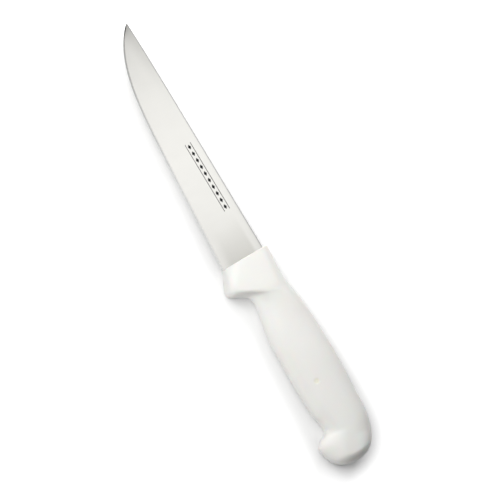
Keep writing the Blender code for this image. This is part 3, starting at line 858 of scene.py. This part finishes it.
def paintBlade(piece):
    # Sides, edge bevel and spine each get their own finish, by where a face lies.
    mesh = piece.data
    measureBlade(mesh)
    mesh.materials.clear()
    for material in (groundStainlessSteel(), honedEdge(), spineWithPaintedShade()):
        mesh.materials.append(material)
    count = len(mesh.polygons)
    centres, normals = np.empty(count * 3), np.empty(count * 3)
    mesh.polygons.foreach_get("center", centres)
    mesh.polygons.foreach_get("normal", normals)
    centres = (centres.reshape(-1, 3) - knifeOrigin) / millimetre
    normals = normals.reshape(-1, 3)
    x, y = centres[:, 0], centres[:, 1]
    bevel = np.minimum(blade["bevelHeight"], (edgeLine(x) - spineLine(x)) / 3)
    onBevel = (x > 0) & (y > edgeLine(x) - steelLook["bevelMargin"] * bevel)
    onSpine = (x > 0) & (normals[:, 1] < steelLook["spineFacing"])
    finish = np.where(onBevel, 1, np.where(onSpine, 2, 0))
    mesh.polygons.foreach_set("material_index", finish)
    mesh.shade_smooth()
    mesh.set_sharp_from_angle(angle=math.radians(steelLook["sharpAngle"]))


def paintHandle(piece):
    piece.data.materials.clear()
    piece.data.materials.append(mouldedPolypropylene())
    piece.data.shade_smooth()
    piece.data.set_sharp_from_angle(angle=math.radians(plasticLook["sharpAngle"]))


print("making the blade")
bladePiece = makeBlade()
paintBlade(bladePiece)
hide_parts("blade")
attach(bladePiece, "root")

print("making the handle")
handlePiece = makeHandle()
paintHandle(handlePiece)
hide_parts("handle")
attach(handlePiece, "root")


# Studio

studio = {
    "floorSize": 4.0,         # m
    "floorDrop": 0.05,        # mm below the knife, so that their faces don't meet
    "floorAlbedo": 0.72,      # how much light the table gives back to the knife
    "floorWhite": 0.95,       # its colour as seen
    "tableGlow": 0.73,        # the table's own light round the knife, as seen
    "openGlow": 1.0,          # and farther out, where the softboxes don't reach
    "openStart": 0.22,        # m from the middle of the knife
    "openEnd": 0.5,
    "paintedShadowReach": 0.05,        # m; how far the knife's painted shadow on that light reaches
    "paintedShadowDark": 0.4,          # openness at which the painted shadow leaves none of that light
    "paintedShadowPower": 2.0,         # how fast the painted shadow deepens with falling openness
    "paintedShadowSamples": 16,
    "ambient": 0.016,         # the room's light on matt surfaces
    "mirrored": 0.776,        # in reflections
    "surround": 1.0,          # and as the background itself
}

# Softboxes: place in metres from the collar, width in metres, power in watts, and
# whether it shows in reflections alone, or else lights matt surfaces alone.
softboxes = {
    # above the blade, on the cutting edge's side
    "keySoftbox": ((0.109, 0.159, 0.390), 0.3, 1.5, False),
    # low and far out on the cutting edge's side
    "bellySoftbox": ((-0.05, 0.435, 0.117), 0.3, 0.62, False),
    # beyond the tip on the spine's side
    "spineSoftbox": ((0.211, -0.261, 0.258), 0.3, 1.33, False),
    # high above, on the spine's side, for the sheen on steel and plastic
    "sheenSoftbox": ((0.119, -0.13, 0.55), 0.24, 0.186, True),
}

camera = {
    "eye": (-0.02406, 0.25320, 0.82636),   # m from the collar
    "target": (0.00248, 0.00715, 0.0),
    "roll": -31.88,           # degrees
    "lens": 108.0,            # mm
    "sensor": 36.0,
    "clip": (0.01, 10.0),     # m
}


def shinyRays(tree):
    # A node that is 1 for rays by reflection or transmission and 0 for others, and the
    # socket that is 1 for the camera's own rays.
    path = addNode(tree, "ShaderNodeLightPath", {}, {})
    shiny = addNode(tree, "ShaderNodeMath", {"operation": "MAXIMUM"}, {
        0: path.outputs["Is Glossy Ray"], 1: path.outputs["Is Transmission Ray"]})
    return shiny, path.outputs["Is Camera Ray"]


def makeFloor():
    # A square table top round the middle of the scene, in the knife's own millimetres.
    reach = studio["floorSize"] / 2
    points = np.array([(-reach, -reach, 0), (reach, -reach, 0), (reach, reach, 0),
                       (-reach, reach, 0)]) / millimetre
    height = cadLow.z / millimetre - studio["floorDrop"]
    points = points - knifeOrigin / millimetre + np.array([0, 0, height])
    floor = makePiece("tableTop", points, [[0, 1, 2, 3]])
    material, tree = newMaterial("whiteTable")
    shiny, fromCamera = shinyRays(tree)
    seen = addNode(tree, "ShaderNodeMath", {"operation": "MAXIMUM"}, {
        0: shiny.outputs[0], 1: fromCamera})
    colour = addNode(tree, "ShaderNodeMapRange", {}, {
        "Value": seen.outputs[0], "To Min": studio["floorAlbedo"],
        "To Max": studio["floorWhite"]})
    diffuse = addNode(tree, "ShaderNodeBsdfDiffuse", {}, {
        "Color": colour.outputs["Result"]})
    # The table's own light is painted darker where something stands close over it: a
    # painted shadow round the knife. It is there for the camera and in reflections and puts
    # no light on matt surfaces.
    samples = {"samples": studio["paintedShadowSamples"]}
    openness = addNode(tree, "ShaderNodeAmbientOcclusion", samples, {
        "Distance": studio["paintedShadowReach"]})
    level = addNode(tree, "ShaderNodeMapRange", {}, {
        "Value": openness.outputs["AO"], "From Min": studio["paintedShadowDark"], "From Max": 1.0})
    curve = addNode(tree, "ShaderNodeMath", {"operation": "POWER"}, {
        0: level.outputs["Result"], 1: studio["paintedShadowPower"]})
    place = addNode(tree, "ShaderNodeTexCoord", {}, {})
    away = addNode(tree, "ShaderNodeVectorMath", {"operation": "LENGTH"}, {
        0: place.outputs["Object"]})
    openLevel = addNode(tree, "ShaderNodeMapRange", {}, {
        "Value": away.outputs["Value"], "From Min": studio["openStart"],
        "From Max": studio["openEnd"], "To Min": studio["tableGlow"],
        "To Max": studio["openGlow"]})
    bright = addNode(tree, "ShaderNodeMath", {"operation": "MULTIPLY"}, {
        0: curve.outputs[0], 1: openLevel.outputs["Result"]})
    glow = addNode(tree, "ShaderNodeMath", {"operation": "MULTIPLY"}, {
        0: seen.outputs[0], 1: bright.outputs[0]})
    emission = addNode(tree, "ShaderNodeEmission", {}, {"Strength": glow.outputs[0]})
    both = addNode(tree, "ShaderNodeAddShader", {}, {
        0: diffuse.outputs[0], 1: emission.outputs[0]})
    addNode(tree, "ShaderNodeOutputMaterial", {}, {"Surface": both.outputs[0]})
    floor.data.materials.append(material)


def makeWorld():
    # A white room: faint on matt surfaces, brighter in reflections, white as background.
    world = bpy.data.worlds.new("studio")
    world.use_nodes = True
    tree = world.node_tree
    tree.nodes.clear()
    shiny, fromCamera = shinyRays(tree)
    onKnife = addNode(tree, "ShaderNodeMapRange", {}, {
        "Value": shiny.outputs[0], "To Min": studio["ambient"],
        "To Max": studio["mirrored"]})
    strength = addNode(tree, "ShaderNodeMapRange", {}, {
        "Value": fromCamera, "To Min": onKnife.outputs["Result"],
        "To Max": studio["surround"]})
    background = addNode(tree, "ShaderNodeBackground", {}, {
        "Color": (1.0, 1.0, 1.0, 1.0), "Strength": strength.outputs["Result"]})
    addNode(tree, "ShaderNodeOutputWorld", {}, {"Surface": background.outputs[0]})
    bpy.context.scene.world = world


def addSoftbox(name, place, size, power, inReflections):
    # A square lamp that looks at the collar and isn't seen itself.
    light = bpy.data.lights.new(name, "AREA")
    light.shape = "SQUARE"
    light.size = size
    light.energy = power
    lamp = bpy.data.objects.new(name, light)
    lamp.location = Vector(place) + Vector(knifeOrigin)
    lamp.rotation_euler = (-Vector(place)).to_track_quat("-Z", "Y").to_euler()
    lamp.visible_camera = False
    lamp.visible_glossy = inReflections
    lamp.visible_diffuse = not inReflections
    bpy.context.scene.collection.objects.link(lamp)


def makeCamera():
    # Looks from the eye to the target, with its up axis turned by the roll from x.
    data = bpy.data.cameras.new("camera")
    data.lens = camera["lens"]
    data.sensor_width = camera["sensor"]
    data.clip_start, data.clip_end = camera["clip"]
    eye = Vector(camera["eye"]) + Vector(knifeOrigin)
    target = Vector(camera["target"]) + Vector(knifeOrigin)
    forward = (target - eye).normalized()
    angle = math.radians(camera["roll"])
    upHint = Vector((math.cos(angle), math.sin(angle), 0.0))
    right = forward.cross(upHint).normalized()
    up = right.cross(forward)
    turn = Matrix((right, up, -forward)).transposed().to_4x4()
    rig = bpy.data.objects.new("camera", data)
    rig.matrix_world = Matrix.Translation(eye) @ turn
    bpy.context.scene.collection.objects.link(rig)
    bpy.context.scene.camera = rig


print("setting up the studio")
makeFloor()
makeWorld()
for name, settings in softboxes.items():
    addSoftbox(name, *settings)
makeCamera()
bpy.context.scene.view_settings.view_transform = "Standard"

print("done")
